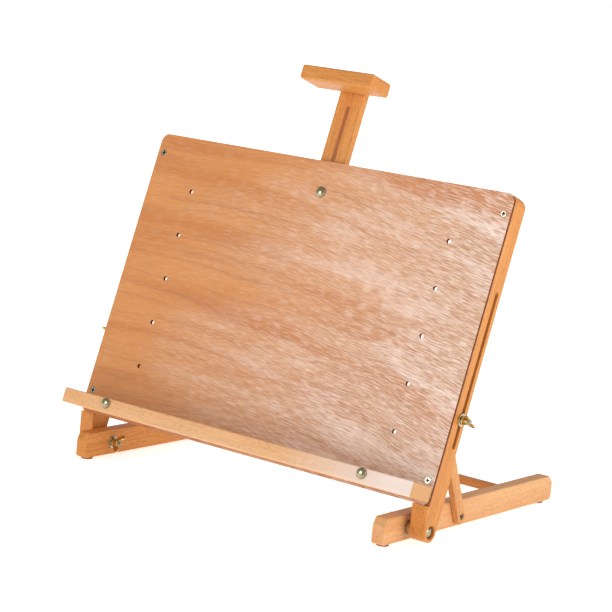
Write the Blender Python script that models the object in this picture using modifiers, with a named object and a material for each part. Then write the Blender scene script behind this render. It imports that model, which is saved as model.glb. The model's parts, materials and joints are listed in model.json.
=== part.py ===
"""Tabletop wooden artist easel.

A plywood drawing board on two slotted side rails leans back on a low base of two
feet.  Each rail turns on a pivot bolt near the front of its foot; a prop screwed to
the foot carries a bolt that slides in the rail's slot and locks with a wing nut.  A
ledge holds the work at the bottom, a sliding mast with a clamp head holds its top.

Units are metres, +Z is up, the viewer stands at -Y.  Pieces on the leaning board are
placed in the board's own frame: X to the right, Y back through the board, Z up along
it, measured from the pivot axis.
"""
import math

import bmesh
import bpy
from mathutils import Vector

# ---- driving dimensions ------------------------------------------------------------
TILT = math.radians(18.0)      # lean of the board from upright
GAP = 0.0003                   # air between pieces that touch

PANEL_W = 0.500
PANEL_H = 0.348
PANEL_T = 0.0042
PANEL_CORNER = 0.010
PANEL_EDGE_Z = 0.048           # panel's lower front edge above the table
PANEL_EDGE_Y = -0.1392         # and its place front to back

PIVOT_BACK = 0.0207            # pivot axis behind the panel's front face
PIVOT_BELOW = 0.0264           # and below the panel's lower edge

HOLE_COLUMN_X = 0.1835         # the two columns of ledge holes
HOLE_FIRST = 0.0138            # lowest pair above the panel's lower edge
HOLE_PITCH = 0.054
HOLE_ROWS = 6

BOLT_R = 0.0024
HOLE_R = 0.0027
SLOT_HALF = 0.0028
HEAD_R = 0.0063                # mushroom head of every bolt
HEAD_T = 0.0033

RAIL_T = 0.020                 # side rail, thickness across the easel
RAIL_REAR = 0.0283             # its rear face behind the panel's front face
LEG_REAR = 0.0320              # the wider lower part that becomes the leg
LEG_END_R = 0.0113
SLOT_BACK = 0.0185             # centre line of the rail's slot
SLOT_LOW = 0.0685              # slot's end centres above the panel's lower edge
SLOT_HIGH = 0.2390
COUNTERBORE_R = 0.0076
COUNTERBORE_DEPTH = 0.0042

LAYER_T = 0.0077               # prop and spacer, between rail and foot
FOOT_T = 0.016
FOOT_FRONT = -0.0347           # ends and faces of the feet from the panel's edge
FOOT_BACK = 0.3147
FOOT_TOP = -0.0163
FOOT_BOTTOM = -0.0460
PAD_R = 0.0070
PAD_T = 0.0020
PAD_Y = (-0.0235, 0.2960)

PROP_FOOT_Y = 0.1051           # prop's lower screw from the panel's edge
PROP_FOOT_Z = -0.0329
SLOT_BOLT_UP = 0.09873         # slot bolt above the panel's lower edge
PROP_HALF = 0.0068
PROP_END = 0.0085

STRETCHER_Y = (0.2430, 0.2530)
STRETCHER_Z = (-0.0365, -0.0270)

TOP_RAIL_LOW = 0.2990
TOP_RAIL_HIGH = 0.3240
TOP_RAIL_BACK = 0.0245
MAST_HALF = 0.0172
MAST_FRONT = 0.0046
MAST_BACK = 0.0144
MAST_LOW = 0.2100
MAST_HIGH = 0.4465
MAST_BOLT_UP = 0.3114
MAST_SLOT_LOW = 0.2280
MAST_SLOT_HIGH = 0.4140
HEAD_BLOCK_W = 0.100
HEAD_BLOCK_LOW = 0.4315
HEAD_BLOCK_HIGH = 0.4485
HEAD_BLOCK_FRONT = -0.0355

LEDGE_W = 0.500
LEDGE_LOW = 0.0030
LEDGE_HIGH = 0.0203
LEDGE_FRONT = -0.0385

SCREW_X = 0.2412               # corner screws of the panel
SCREW_UP = (0.0264, 0.3243)
SCREW_HEAD_R = 0.0038
SCREW_SHANK_R = 0.0018

WASHER_R = 0.0074
WASHER_T = 0.0012
NUT_HUB_R = 0.0052
NUT_HUB_TOP_R = 0.0040
NUT_H = 0.0075
NUT_SPAN = 0.0230
WING_T = 0.0020

SEGMENTS = 20                  # facets round every turned piece

SIDES = {"right": 1, "left": -1}

# ---- places that follow from them ---------------------------------------------------
INNER_X = PANEL_W / 2 - RAIL_T             # inner face of a side rail
LAYER_OUT = INNER_X - GAP                  # prop's and spacer's outer face
LAYER_IN = LAYER_OUT - LAYER_T
FOOT_OUT = LAYER_IN - GAP
FOOT_IN = FOOT_OUT - FOOT_T
BEHIND_PANEL = PANEL_T + GAP


def along_board(back, up):
    """World (y, z) of a point given behind and above the panel's lower front edge."""
    y = back * math.cos(TILT) + up * math.sin(TILT)
    z = -back * math.sin(TILT) + up * math.cos(TILT)
    return PANEL_EDGE_Y + y, PANEL_EDGE_Z + z


PIVOT_Y, PIVOT_Z = along_board(PIVOT_BACK, -PIVOT_BELOW)
BOLT_Y, BOLT_Z = along_board(SLOT_BACK, SLOT_BOLT_UP)
SCREW_Y = PANEL_EDGE_Y + PROP_FOOT_Y
SCREW_Z = PANEL_EDGE_Z + PROP_FOOT_Z
PROP_LENGTH = math.hypot(BOLT_Y - SCREW_Y, BOLT_Z - SCREW_Z)
PROP_LEAN = math.atan2(SCREW_Y - BOLT_Y, BOLT_Z - SCREW_Z)

SIDEWAYS = (math.pi / 2, 0.0, math.pi / 2)  # outline's x, y become world Y, Z
UPRIGHT = (math.pi / 2, 0.0, 0.0)           # outline's x, y become world X, Z
POINT_RIGHT = (0.0, math.pi / 2, 0.0)       # turned piece's Z becomes +X
POINT_LEFT = (0.0, -math.pi / 2, 0.0)
POINT_BACK = (-math.pi / 2, 0.0, 0.0)       # turned piece's Z becomes +Y
POINT_FRONT = (math.pi / 2, 0.0, 0.0)


def board_point(x, back, up):
    """A place on the board, in the frame whose origin is the pivot axis."""
    return Vector((x, back - PIVOT_BACK, up + PIVOT_BELOW))


# ---- scene ---------------------------------------------------------------------------
for old in list(bpy.data.objects):
    bpy.data.objects.remove(old, do_unlink=True)

PARTS = bpy.data.collections.new("artist_easel")
CUTTERS = bpy.data.collections.new("cutters")
bpy.context.scene.collection.children.link(PARTS)
bpy.context.scene.collection.children.link(CUTTERS)


def material(name, colour, roughness, metallic=0.0):
    mat = bpy.data.materials.new(name)
    mat.use_nodes = True
    shader = mat.node_tree.nodes["Principled BSDF"]
    shader.inputs["Base Color"].default_value = (*colour, 1.0)
    shader.inputs["Roughness"].default_value = roughness
    shader.inputs["Metallic"].default_value = metallic
    return mat


PLYWOOD = material("plywood", (0.56, 0.30, 0.17), 0.45)
BEECH = material("beech", (0.72, 0.40, 0.17), 0.50)
PALE_BEECH = material("pale_beech", (0.82, 0.62, 0.44), 0.50)
BRASS = material("brass", (0.72, 0.55, 0.25), 0.25, 1.0)
NICKEL = material("nickel", (0.70, 0.68, 0.62), 0.25, 1.0)
RUBBER = material("rubber", (0.20, 0.06, 0.03), 0.85)


def empty(name, location, rotation=(0.0, 0.0, 0.0)):
    marker = bpy.data.objects.new(name, None)
    marker.empty_display_size = 0.02
    marker.location = location
    marker.rotation_euler = rotation
    PARTS.objects.link(marker)
    return marker


def place(obj, parent, location, rotation=None):
    obj.parent = parent
    obj.location = location
    if rotation is not None:
        obj.rotation_euler = rotation
    return obj


def smooth(mesh):
    mesh.shade_smooth()
    mesh.set_sharp_from_angle(angle=math.radians(35.0))


def new_piece(name, mesh, mat):
    mesh.name = name
    mesh.materials.clear()
    mesh.materials.append(mat)
    smooth(mesh)
    piece = bpy.data.objects.new(name, mesh)
    PARTS.objects.link(piece)
    return piece


def new_cutter(name, mesh, parent, location, rotation=(0.0, 0.0, 0.0)):
    cutter = bpy.data.objects.new(name, mesh)
    cutter.hide_render = True
    cutter.display_type = "WIRE"
    CUTTERS.objects.link(cutter)
    return place(cutter, parent, location, rotation)


def cut(piece, cutter, operation="DIFFERENCE"):
    boolean = piece.modifiers.new(cutter.name, "BOOLEAN")
    boolean.operation = operation
    boolean.object = cutter


# ---- shapes --------------------------------------------------------------------------
def arc(centre, radius, start, end, steps):
    """Points on an arc; angles in degrees, from start to end."""
    points = []
    for i in range(steps + 1):
        angle = math.radians(start + (end - start) * i / steps)
        points.append(Vector((centre[0] + radius * math.cos(angle),
                              centre[1] + radius * math.sin(angle))))
    return points


def rounded(corners, steps=4):
    """Closed outline through (x, y, radius) corners, each turned into an arc."""
    outline = []
    count = len(corners)
    for i, (x, y, radius) in enumerate(corners):
        here = Vector((x, y))
        if radius == 0.0:
            outline.append(here)
            continue
        before = (Vector(corners[i - 1][:2]) - here).normalized()
        after = (Vector(corners[(i + 1) % count][:2]) - here).normalized()
        half = before.angle(after) / 2
        reach = radius / math.tan(half)
        centre = here + (before + after).normalized() * (radius / math.sin(half))
        start = here + before * reach - centre
        sweep = start.angle_signed(here + after * reach - centre)
        for step in range(steps + 1):
            turn = -sweep * step / steps
            spoke = Vector((start.x * math.cos(turn) - start.y * math.sin(turn),
                            start.x * math.sin(turn) + start.y * math.cos(turn)))
            outline.append(centre + spoke)
    return outline


def circle(centre, radius, steps=16):
    return arc(centre, radius, 0.0, 360.0 * (steps - 1) / steps, steps - 1)


def stadium(centre_a, centre_b, radius, steps=8):
    """Slot outline between two end centres that lie one above the other."""
    return arc(centre_b, radius, 0.0, 180.0, steps) + arc(centre_a, radius, 180.0, 360.0, steps)


def slab(name, outlines, thickness, rounding=0.0):
    """Mesh of a flat outline (and holes in it), extruded both ways, edges rounded."""
    curve = bpy.data.curves.new(name, "CURVE")
    curve.dimensions = "2D"
    curve.fill_mode = "BOTH"
    curve.extrude = thickness / 2 - rounding
    curve.bevel_depth = rounding
    curve.bevel_resolution = 1
    curve.offset = -rounding
    for outline in outlines:
        spline = curve.splines.new("POLY")
        spline.points.add(len(outline) - 1)
        for point, corner in zip(spline.points, outline):
            point.co = (corner.x, corner.y, 0.0, 1.0)
        spline.use_cyclic_u = True
    obj = bpy.data.objects.new(name, curve)
    CUTTERS.objects.link(obj)
    bpy.context.view_layer.update()
    evaluated = obj.evaluated_get(bpy.context.evaluated_depsgraph_get())
    mesh = bpy.data.meshes.new_from_object(evaluated)
    bpy.data.objects.remove(obj, do_unlink=True)
    weld(mesh)
    return mesh


def weld(mesh):
    shape = bmesh.new()
    shape.from_mesh(mesh)
    bmesh.ops.remove_doubles(shape, verts=shape.verts, dist=0.00001)
    bmesh.ops.recalc_face_normals(shape, faces=shape.faces)
    shape.to_mesh(mesh)
    shape.free()


def cylinder(name, radius, length):
    """Mesh of a cylinder from z = 0 to z = length."""
    shape = bmesh.new()
    bmesh.ops.create_cone(shape, cap_ends=True, segments=SEGMENTS, radius1=radius,
                          radius2=radius, depth=length)
    bmesh.ops.translate(shape, verts=shape.verts, vec=(0.0, 0.0, length / 2))
    mesh = bpy.data.meshes.new(name)
    shape.to_mesh(mesh)
    shape.free()
    return mesh


def box(name, size):
    shape = bmesh.new()
    bmesh.ops.create_cube(shape, size=1.0)
    bmesh.ops.scale(shape, verts=shape.verts, vec=size)
    mesh = bpy.data.meshes.new(name)
    shape.to_mesh(mesh)
    shape.free()
    return mesh


def turned(name, profile, steps=SEGMENTS):
    """Mesh of a profile of (radius, height) points, top to bottom, spun about Z."""
    mesh = bpy.data.meshes.new(name)
    points = [(radius, 0.0, height) for radius, height in profile]
    edges = [(i, i + 1) for i in range(len(points) - 1)]
    if profile[0][0] > 0.0:
        edges.append((len(points) - 1, 0))
    mesh.from_pydata(points, edges, [])
    obj = bpy.data.objects.new(name, mesh)
    CUTTERS.objects.link(obj)
    screw = obj.modifiers.new("turn", "SCREW")
    screw.steps = steps
    screw.render_steps = steps
    screw.use_merge_vertices = True
    screw.merge_threshold = 0.00001
    bpy.context.view_layer.update()
    evaluated = obj.evaluated_get(bpy.context.evaluated_depsgraph_get())
    solid = bpy.data.meshes.new_from_object(evaluated)
    bpy.data.objects.remove(obj, do_unlink=True)
    weld(solid)
    return solid


# ---- hardware ------------------------------------------------------------------------
def bolt_mesh(name, length):
    """Mushroom-headed bolt, head above z = 0 and shank below it."""
    dome = arc((0.0, 0.0), 1.0, 90.0, 12.0, 5)
    profile = [(HEAD_R * p.x, HEAD_T * p.y) for p in dome]
    profile[0] = (0.0, HEAD_T)
    profile += [(HEAD_R * 0.98, 0.0), (BOLT_R, 0.0)]
    profile += [(BOLT_R, -length + 0.0006), (BOLT_R - 0.0006, -length), (0.0, -length)]
    return turned(name, profile)


def screw_mesh(name, length):
    """Countersunk wood screw, head flush at z = 0, point down."""
    profile = [(0.0, 0.0), (SCREW_HEAD_R, 0.0), (SCREW_HEAD_R, -0.0003),
               (SCREW_SHANK_R, -SCREW_HEAD_R * 0.85), (SCREW_SHANK_R, -length * 0.8),
               (0.0, -length)]
    return turned(name, profile, 16)


def screw_hole_mesh(name, length):
    """Cutter for a screw: the screw's own shape, larger all round by the gap."""
    head = SCREW_HEAD_R + GAP
    shank = SCREW_SHANK_R + GAP
    depth = SCREW_HEAD_R * 0.85 + GAP
    profile = [(0.0, 0.002), (head, 0.002), (head, -0.0004), (shank, -depth),
               (shank, -length - GAP), (0.0, -length - GAP)]
    return turned(name, profile, 16)


def washer_mesh(name):
    profile = [(HOLE_R, WASHER_T), (WASHER_R - 0.0004, WASHER_T), (WASHER_R, WASHER_T - 0.0004),
               (WASHER_R, 0.0), (HOLE_R, 0.0)]
    return turned(name, profile)


def wing_nut_mesh(name):
    """Wing nut on z = 0: a tapered hub, two ears, and the bolt's hole through it."""
    hub = bpy.data.objects.new(name, turned(name, [(0.0, NUT_H), (NUT_HUB_TOP_R, NUT_H),
                                                   (NUT_HUB_R, 0.0), (0.0, 0.0)]))
    CUTTERS.objects.link(hub)
    half = NUT_SPAN / 2
    ear = [(NUT_HUB_TOP_R * 0.4, 0.0012, 0.0), (half * 0.62, 0.0022, 0.002),
           (half, 0.0080, 0.003), (half * 0.92, 0.0125, 0.003),
           (half * 0.62, 0.0120, 0.002), (NUT_HUB_TOP_R * 0.4, 0.0060, 0.0)]
    ears = []
    for side in SIDES.values():
        outline = rounded([(side * x, y, radius) for x, y, radius in ear], 3)
        plate = new_cutter(name + "_ear", slab(name, [outline], WING_T), None,
                           (0.0, 0.0, 0.0), UPRIGHT)
        cut(hub, plate, "UNION")
        ears.append(plate)
    bore = new_cutter(name + "_bore", cylinder(name, HOLE_R, NUT_H * 3), None,
                      (0.0, 0.0, -NUT_H))
    cut(hub, bore)
    bpy.context.view_layer.update()
    evaluated = hub.evaluated_get(bpy.context.evaluated_depsgraph_get())
    mesh = bpy.data.meshes.new_from_object(evaluated)
    for helper in [hub, bore] + ears:
        bpy.data.objects.remove(helper, do_unlink=True)
    return mesh


WASHER_MESH = washer_mesh("washer")
WING_NUT_MESH = wing_nut_mesh("wing_nut")


def washer(name, parent, location, rotation):
    place(new_piece(name, WASHER_MESH.copy(), NICKEL), parent, location, rotation)


def wing_nut(name, location, facing, turn, parent=None):
    """Wing nut with its own empty on the axis, ears turned about that axis."""
    axis = place(empty(name + "_axis", (0.0, 0.0, 0.0)), parent, location, facing)
    place(new_piece(name, WING_NUT_MESH.copy(), BRASS), axis, (0.0, 0.0, 0.0),
          (0.0, 0.0, math.radians(turn)))


# ---- board ---------------------------------------------------------------------------
def drawing_board(frame):
    """Plywood panel with its ledge holes and the mast bolt's hole."""
    half = PANEL_W / 2
    foot = PIVOT_BELOW
    outline = rounded([(-half, foot, PANEL_CORNER * 0.7), (half, foot, PANEL_CORNER * 0.7),
                       (half, foot + PANEL_H, PANEL_CORNER),
                       (-half, foot + PANEL_H, PANEL_CORNER)])
    holes = [circle((0.0, foot + MAST_BOLT_UP), HOLE_R)]
    for row in range(HOLE_ROWS):
        for side in SIDES.values():
            up = foot + HOLE_FIRST + row * HOLE_PITCH
            holes.append(circle((side * HOLE_COLUMN_X, up), HOLE_R))
    panel = new_piece("drawing_board", slab("panel", [outline] + holes, PANEL_T), PLYWOOD)
    place(panel, frame, (0.0, PANEL_T / 2 - PIVOT_BACK, 0.0), UPRIGHT)
    return panel


def rail_outline():
    """Side view of a rail and its leg, as (back, up) from the pivot axis."""
    front = BEHIND_PANEL - PIVOT_BACK
    rear = RAIL_REAR - PIVOT_BACK
    leg_rear = LEG_REAR - PIVOT_BACK
    shoulder = PIVOT_BELOW - GAP
    top = PIVOT_BELOW + PANEL_H - GAP
    lean = math.degrees(TILT)
    end = arc((0.0, 0.0), LEG_END_R, 180.0 + lean, 360.0, 12)
    reach = (shoulder - end[0].y) / math.cos(TILT)
    leg_top = Vector((end[0].x - reach * math.sin(TILT), shoulder))
    upper = rounded([(end[-1].x, end[-1].y, 0.0), (leg_rear, shoulder + 0.038, 0.030),
                     (rear, shoulder + 0.058, 0.030), (rear, top, 0.012),
                     (front, top, 0.0015), (front, shoulder, 0.0)])
    return upper + [leg_top] + end[:-1]


def side_rail(side_name, side, frame, panel):
    middle = (side * (PANEL_W / 2 - RAIL_T / 2), 0.0, 0.0)
    rail = new_piece(side_name + "_side_rail", slab("rail", [rail_outline()], RAIL_T, 0.0010),
                     BEECH)
    place(rail, frame, middle, SIDEWAYS)
    slot = stadium((SLOT_BACK - PIVOT_BACK, SLOT_LOW + PIVOT_BELOW),
                   (SLOT_BACK - PIVOT_BACK, SLOT_HIGH + PIVOT_BELOW), SLOT_HALF)
    cut(rail, new_cutter(side_name + "_slot_cut", slab("slot", [slot], RAIL_T * 2), frame,
                         middle, SIDEWAYS))
    outward = POINT_RIGHT if side > 0 else POINT_LEFT
    cut(rail, new_cutter(side_name + "_pivot_cut", cylinder("pivot_hole", HOLE_R, RAIL_T * 2),
                         frame, (side * (INNER_X - RAIL_T / 2), 0.0, 0.0), outward))
    seat = side * (PANEL_W / 2 - COUNTERBORE_DEPTH)
    cut(rail, new_cutter(side_name + "_counterbore_cut", cylinder("seat", COUNTERBORE_R, 0.01),
                         frame, (seat, 0.0, 0.0), outward))
    corner = rounded([(-PANEL_W / 2, -0.06, 0.0), (PANEL_W / 2, -0.06, 0.0),
                      (PANEL_W / 2, PIVOT_BELOW + PANEL_H, PANEL_CORNER),
                      (-PANEL_W / 2, PIVOT_BELOW + PANEL_H, PANEL_CORNER)])
    cut(rail, new_cutter(side_name + "_corner_cut", slab("corner", [corner], 0.2), frame,
                         (0.0, 0.0, 0.0), UPRIGHT), "INTERSECT")
    for row, up in enumerate(SCREW_UP):
        name = side_name + ("_lower_board_screw" if row == 0 else "_upper_board_screw")
        spot = board_point(side * SCREW_X, 0.0, up)
        screw = new_piece(name, screw_mesh(name, 0.018), NICKEL)
        place(screw, frame, spot, POINT_FRONT)
        hole = new_cutter(name + "_cut", screw_hole_mesh(name, 0.018), frame, spot, POINT_FRONT)
        cut(rail, hole)
        cut(panel, hole)
    return rail


def dowel(name, parent, location, length, radius):
    pin = new_piece(name, cylinder(name, radius, length), BEECH)
    return place(pin, parent, location, POINT_RIGHT)


DOWEL_R = 0.0030
DOWEL_IN = 0.010               # how far a dowel enters the side piece


def top_rail(frame, rails):
    """Cross rail behind the panel, notched round the mast and dowelled to the rails."""
    length = 2 * (INNER_X - GAP)
    height = TOP_RAIL_HIGH - TOP_RAIL_LOW
    notch = MAST_HALF + 0.0004
    deep = TOP_RAIL_BACK - BEHIND_PANEL
    notch_deep = MAST_BACK + 0.0004 - BEHIND_PANEL
    outline = rounded([(-length / 2, 0.0, 0.0), (-notch, 0.0, 0.0), (-notch, notch_deep, 0.0),
                       (notch, notch_deep, 0.0), (notch, 0.0, 0.0), (length / 2, 0.0, 0.0),
                       (length / 2, deep, 0.0), (-length / 2, deep, 0.0)])
    rail = new_piece("top_cross_rail", slab("top_rail", [outline], height, 0.0008), BEECH)
    middle = (TOP_RAIL_LOW + TOP_RAIL_HIGH) / 2
    place(rail, frame, board_point(0.0, BEHIND_PANEL, middle), (0.0, 0.0, 0.0))
    cut(rail, new_cutter("mast_bolt_cut", cylinder("bolt_hole", HOLE_R, 0.05), frame,
                         board_point(0.0, 0.0, MAST_BOLT_UP), POINT_BACK))
    centre_back = (BEHIND_PANEL + TOP_RAIL_BACK) / 2
    for side_name, side in SIDES.items():
        inner_end = side * INNER_X - DOWEL_IN
        spot = board_point(inner_end, centre_back, middle)
        pin = dowel(side_name + "_top_rail_dowel", frame, spot, 2 * DOWEL_IN, DOWEL_R)
        start = spot - Vector((GAP, 0.0, 0.0))
        hole = new_cutter(pin.name + "_cut", cylinder("dowel_hole", DOWEL_R + GAP,
                                                      2 * (DOWEL_IN + GAP)),
                          frame, start, POINT_RIGHT)
        cut(rail, hole)
        cut(rails[side_name], hole)


def mast(slide):
    """Sliding mast with its slot, and the clamp head screwed to its front.

    Its pieces hang on the slide's empty, so places are measured from there.
    """
    outline = rounded([(-MAST_HALF, PIVOT_BELOW + MAST_LOW, 0.003),
                       (MAST_HALF, PIVOT_BELOW + MAST_LOW, 0.003),
                       (MAST_HALF, PIVOT_BELOW + MAST_HIGH, 0.001),
                       (-MAST_HALF, PIVOT_BELOW + MAST_HIGH, 0.001)], 2)
    post = new_piece("mast", slab("mast", [outline], MAST_BACK - MAST_FRONT, 0.0008), BEECH)
    offset = Vector(slide.location)
    middle = Vector((0.0, (MAST_FRONT + MAST_BACK) / 2 - PIVOT_BACK, 0.0))
    place(post, slide, middle - offset, UPRIGHT)
    slot = stadium((0.0, PIVOT_BELOW + MAST_SLOT_LOW), (0.0, PIVOT_BELOW + MAST_SLOT_HIGH),
                   SLOT_HALF)
    cut(post, new_cutter("mast_slot_cut", slab("slot", [slot], 0.04), slide, middle - offset,
                         UPRIGHT))
    depth = MAST_FRONT - GAP - HEAD_BLOCK_FRONT
    size = (HEAD_BLOCK_W, depth, HEAD_BLOCK_HIGH - HEAD_BLOCK_LOW)
    head = new_piece("clamp_head", box("clamp_head", size), BEECH)
    centre_up = (HEAD_BLOCK_LOW + HEAD_BLOCK_HIGH) / 2
    centre_back = HEAD_BLOCK_FRONT + depth / 2
    place(head, slide, board_point(0.0, centre_back, centre_up) - offset, (0.0, 0.0, 0.0))
    bevel = head.modifiers.new("rounding", "BEVEL")
    bevel.width = 0.0026
    bevel.segments = 3
    for side_name, side in SIDES.items():
        name = side_name + "_head_screw"
        spot = board_point(side * 0.0095, MAST_BACK, centre_up - 0.0012) - offset
        place(new_piece(name, screw_mesh(name, 0.026), NICKEL), slide, spot, POINT_BACK)
        hole = new_cutter(name + "_cut", screw_hole_mesh(name, 0.026), slide, spot, POINT_BACK)
        cut(post, hole)
        cut(head, hole)


def mast_bolt(frame):
    spot = board_point(0.0, -GAP, MAST_BOLT_UP)
    length = TOP_RAIL_BACK + GAP + WASHER_T + NUT_H + 0.0040
    place(new_piece("mast_bolt", bolt_mesh("mast_bolt", length), NICKEL), frame, spot, POINT_FRONT)
    back = TOP_RAIL_BACK + GAP
    washer("mast_washer", frame, board_point(0.0, back, MAST_BOLT_UP), POINT_BACK)
    wing_nut("mast_wing_nut", board_point(0.0, back + WASHER_T + GAP, MAST_BOLT_UP), POINT_BACK,
             25.0, frame)


def ledge(frame, slide):
    """Shelf bar for the work, with its two bolts; the nuts stay behind the panel."""
    offset = Vector(slide.location)
    low = LEDGE_LOW + PIVOT_BELOW
    high = LEDGE_HIGH + PIVOT_BELOW
    outline = rounded([(LEDGE_FRONT - PIVOT_BACK, low, 0.0014),
                       (-GAP - PIVOT_BACK, low, 0.005),
                       (-GAP - PIVOT_BACK, high, 0.001),
                       (LEDGE_FRONT - PIVOT_BACK, high, 0.0014)], 3)
    bar = new_piece("ledge", slab("ledge", [outline], LEDGE_W, 0.0010), PALE_BEECH)
    place(bar, slide, -offset, SIDEWAYS)
    length = PANEL_T - LEDGE_FRONT + GAP + WASHER_T + NUT_H + 0.0040
    for side_name, side in SIDES.items():
        spot = board_point(side * HOLE_COLUMN_X, LEDGE_FRONT - GAP, HOLE_FIRST)
        name = side_name + "_ledge_bolt"
        bolt = new_piece(name, bolt_mesh(name, length), NICKEL)
        place(bolt, slide, spot - offset, POINT_FRONT)
        cut(bar, new_cutter(name + "_cut", cylinder(name, HOLE_R, 0.06), slide, spot - offset,
                            POINT_BACK))
        rear = board_point(side * HOLE_COLUMN_X, PANEL_T + GAP, HOLE_FIRST)
        washer(side_name + "_ledge_washer", frame, rear, POINT_BACK)
        nut_spot = rear + Vector((0.0, WASHER_T + GAP, 0.0))
        wing_nut(side_name + "_ledge_wing_nut", nut_spot, POINT_BACK, side * 20.0, frame)


# ---- base ----------------------------------------------------------------------------
def foot(side_name, side):
    """Foot bar on its two pads, bored for the pivot bolt and the prop's screw."""
    low = PANEL_EDGE_Z + FOOT_BOTTOM
    high = PANEL_EDGE_Z + FOOT_TOP
    front = PANEL_EDGE_Y + FOOT_FRONT
    back = PANEL_EDGE_Y + FOOT_BACK
    outline = rounded([(front, low, 0.0030), (back, low, 0.0045), (back, high - 0.0085, 0.004),
                       (back - 0.0085, high, 0.004), (front + 0.0050, high, 0.003),
                       (front, high - 0.0085, 0.004)], 3)
    bar = new_piece(side_name + "_foot", slab("foot", [outline], FOOT_T, 0.0013), BEECH)
    middle = side * (FOOT_OUT - FOOT_T / 2)
    place(bar, None, (middle, 0.0, 0.0), SIDEWAYS)
    inner = side * (FOOT_IN - 0.01)
    outward = POINT_RIGHT if side > 0 else POINT_LEFT
    inward = POINT_LEFT if side > 0 else POINT_RIGHT
    cut(bar, new_cutter(side_name + "_foot_pivot_cut", cylinder("pivot_hole", HOLE_R, 0.04),
                        None, (inner, PIVOT_Y, PIVOT_Z), outward))
    for end, y in zip(("front", "rear"), PAD_Y):
        pad = new_piece(side_name + "_" + end + "_pad", cylinder("pad", PAD_R, PAD_T - GAP), RUBBER)
        place(pad, None, (middle, PANEL_EDGE_Y + y, 0.0))
    pivot_hardware(side_name, side, outward, inward)
    return bar


def pivot_hardware(side_name, side, outward, inward):
    """Bolt through leg, spacer and foot, with a washer and a wing nut inside."""
    seat = side * (PANEL_W / 2 - COUNTERBORE_DEPTH + GAP)
    reach = abs(seat) - (FOOT_IN - GAP - WASHER_T - NUT_H - 0.0045)
    bolt = new_piece(side_name + "_pivot_bolt", bolt_mesh("pivot_bolt", reach), NICKEL)
    place(bolt, None, (seat, PIVOT_Y, PIVOT_Z), outward)
    ring = [(HOLE_R, LAYER_T), (0.0075, LAYER_T), (0.0080, LAYER_T - 0.0005), (0.0080, 0.0005),
            (0.0075, 0.0), (HOLE_R, 0.0)]
    spacer = new_piece(side_name + "_pivot_spacer", turned("spacer", ring), NICKEL)
    place(spacer, None, (side * LAYER_IN, PIVOT_Y, PIVOT_Z), outward)
    face = FOOT_IN - GAP
    washer(side_name + "_pivot_washer", None, (side * face, PIVOT_Y, PIVOT_Z), inward)
    nut_x = side * (face - WASHER_T - GAP)
    wing_nut(side_name + "_pivot_wing_nut", (nut_x, PIVOT_Y, PIVOT_Z), inward, side * 37.0)


def stretcher(feet):
    """Bar between the feet near their rear ends, dowelled into both."""
    size = (2 * (FOOT_IN - GAP), STRETCHER_Y[1] - STRETCHER_Y[0], STRETCHER_Z[1] - STRETCHER_Z[0])
    centre_y = PANEL_EDGE_Y + sum(STRETCHER_Y) / 2
    centre_z = PANEL_EDGE_Z + sum(STRETCHER_Z) / 2
    bar = new_piece("rear_stretcher", box("stretcher", size), BEECH)
    place(bar, None, (0.0, centre_y, centre_z))
    bevel = bar.modifiers.new("rounding", "BEVEL")
    bevel.width = 0.0010
    bevel.segments = 2
    for side_name, side in SIDES.items():
        spot = Vector((side * FOOT_IN - DOWEL_IN, centre_y, centre_z))
        pin = dowel(side_name + "_stretcher_dowel", None, spot, 2 * DOWEL_IN, DOWEL_R - 0.0005)
        hole = new_cutter(pin.name + "_cut",
                          cylinder("dowel_hole", DOWEL_R - 0.0005 + GAP, 2 * (DOWEL_IN + GAP)),
                          None, spot - Vector((GAP, 0.0, 0.0)), POINT_RIGHT)
        cut(bar, hole)
        cut(feet[side_name], hole)


# ---- props and slot bolts ------------------------------------------------------------
def prop(side_name, side, foot_bar):
    """Prop that swings on its foot screw, with the slot bolt's inner head in its top."""
    hinge = empty(side_name + "_prop_hinge", (0.0, SCREW_Y, SCREW_Z), (PROP_LEAN, 0.0, 0.0))
    half = PROP_HALF
    outline = rounded([(-half, -PROP_END, 0.0035), (half, -PROP_END, 0.0035),
                       (half, PROP_LENGTH + half, half * 0.98),
                       (-half, PROP_LENGTH + half, half * 0.98)])
    bar = new_piece(side_name + "_prop", slab("prop", [outline], LAYER_T, 0.0008), BEECH)
    place(bar, hinge, (side * (LAYER_IN + LAYER_T / 2), 0.0, 0.0), SIDEWAYS)
    outward = POINT_RIGHT if side > 0 else POINT_LEFT
    inward = POINT_LEFT if side > 0 else POINT_RIGHT
    head_x = side * (LAYER_OUT - 0.0012)
    name = side_name + "_prop_screw"
    screw = new_piece(name, screw_mesh(name, 0.020), NICKEL)
    place(screw, None, (head_x, SCREW_Y, SCREW_Z), outward)
    hole = new_cutter(name + "_cut", screw_hole_mesh(name, 0.020), None,
                      (head_x, SCREW_Y, SCREW_Z), outward)
    cut(bar, hole)
    cut(foot_bar, hole)
    top_name = side_name + "_slot_bolt_head"
    depth = SCREW_HEAD_R
    profile = [(0.0, 0.0), (0.0052, 0.0), (0.0052, -0.0004), (BOLT_R, -depth),
               (BOLT_R, -LAYER_T + 0.0004), (0.0, -LAYER_T + 0.0004)]
    top = (side * (LAYER_IN + GAP), 0.0, PROP_LENGTH)
    place(new_piece(top_name, turned(top_name, profile), NICKEL), hinge, top, inward)
    wide = [(0.0, 0.004), (0.0055, 0.004), (0.0055, -0.0005), (HOLE_R, -depth - GAP),
            (HOLE_R, -0.02), (0.0, -0.02)]
    cut(bar, new_cutter(top_name + "_cut", turned(top_name, wide), hinge, top, inward))


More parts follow.
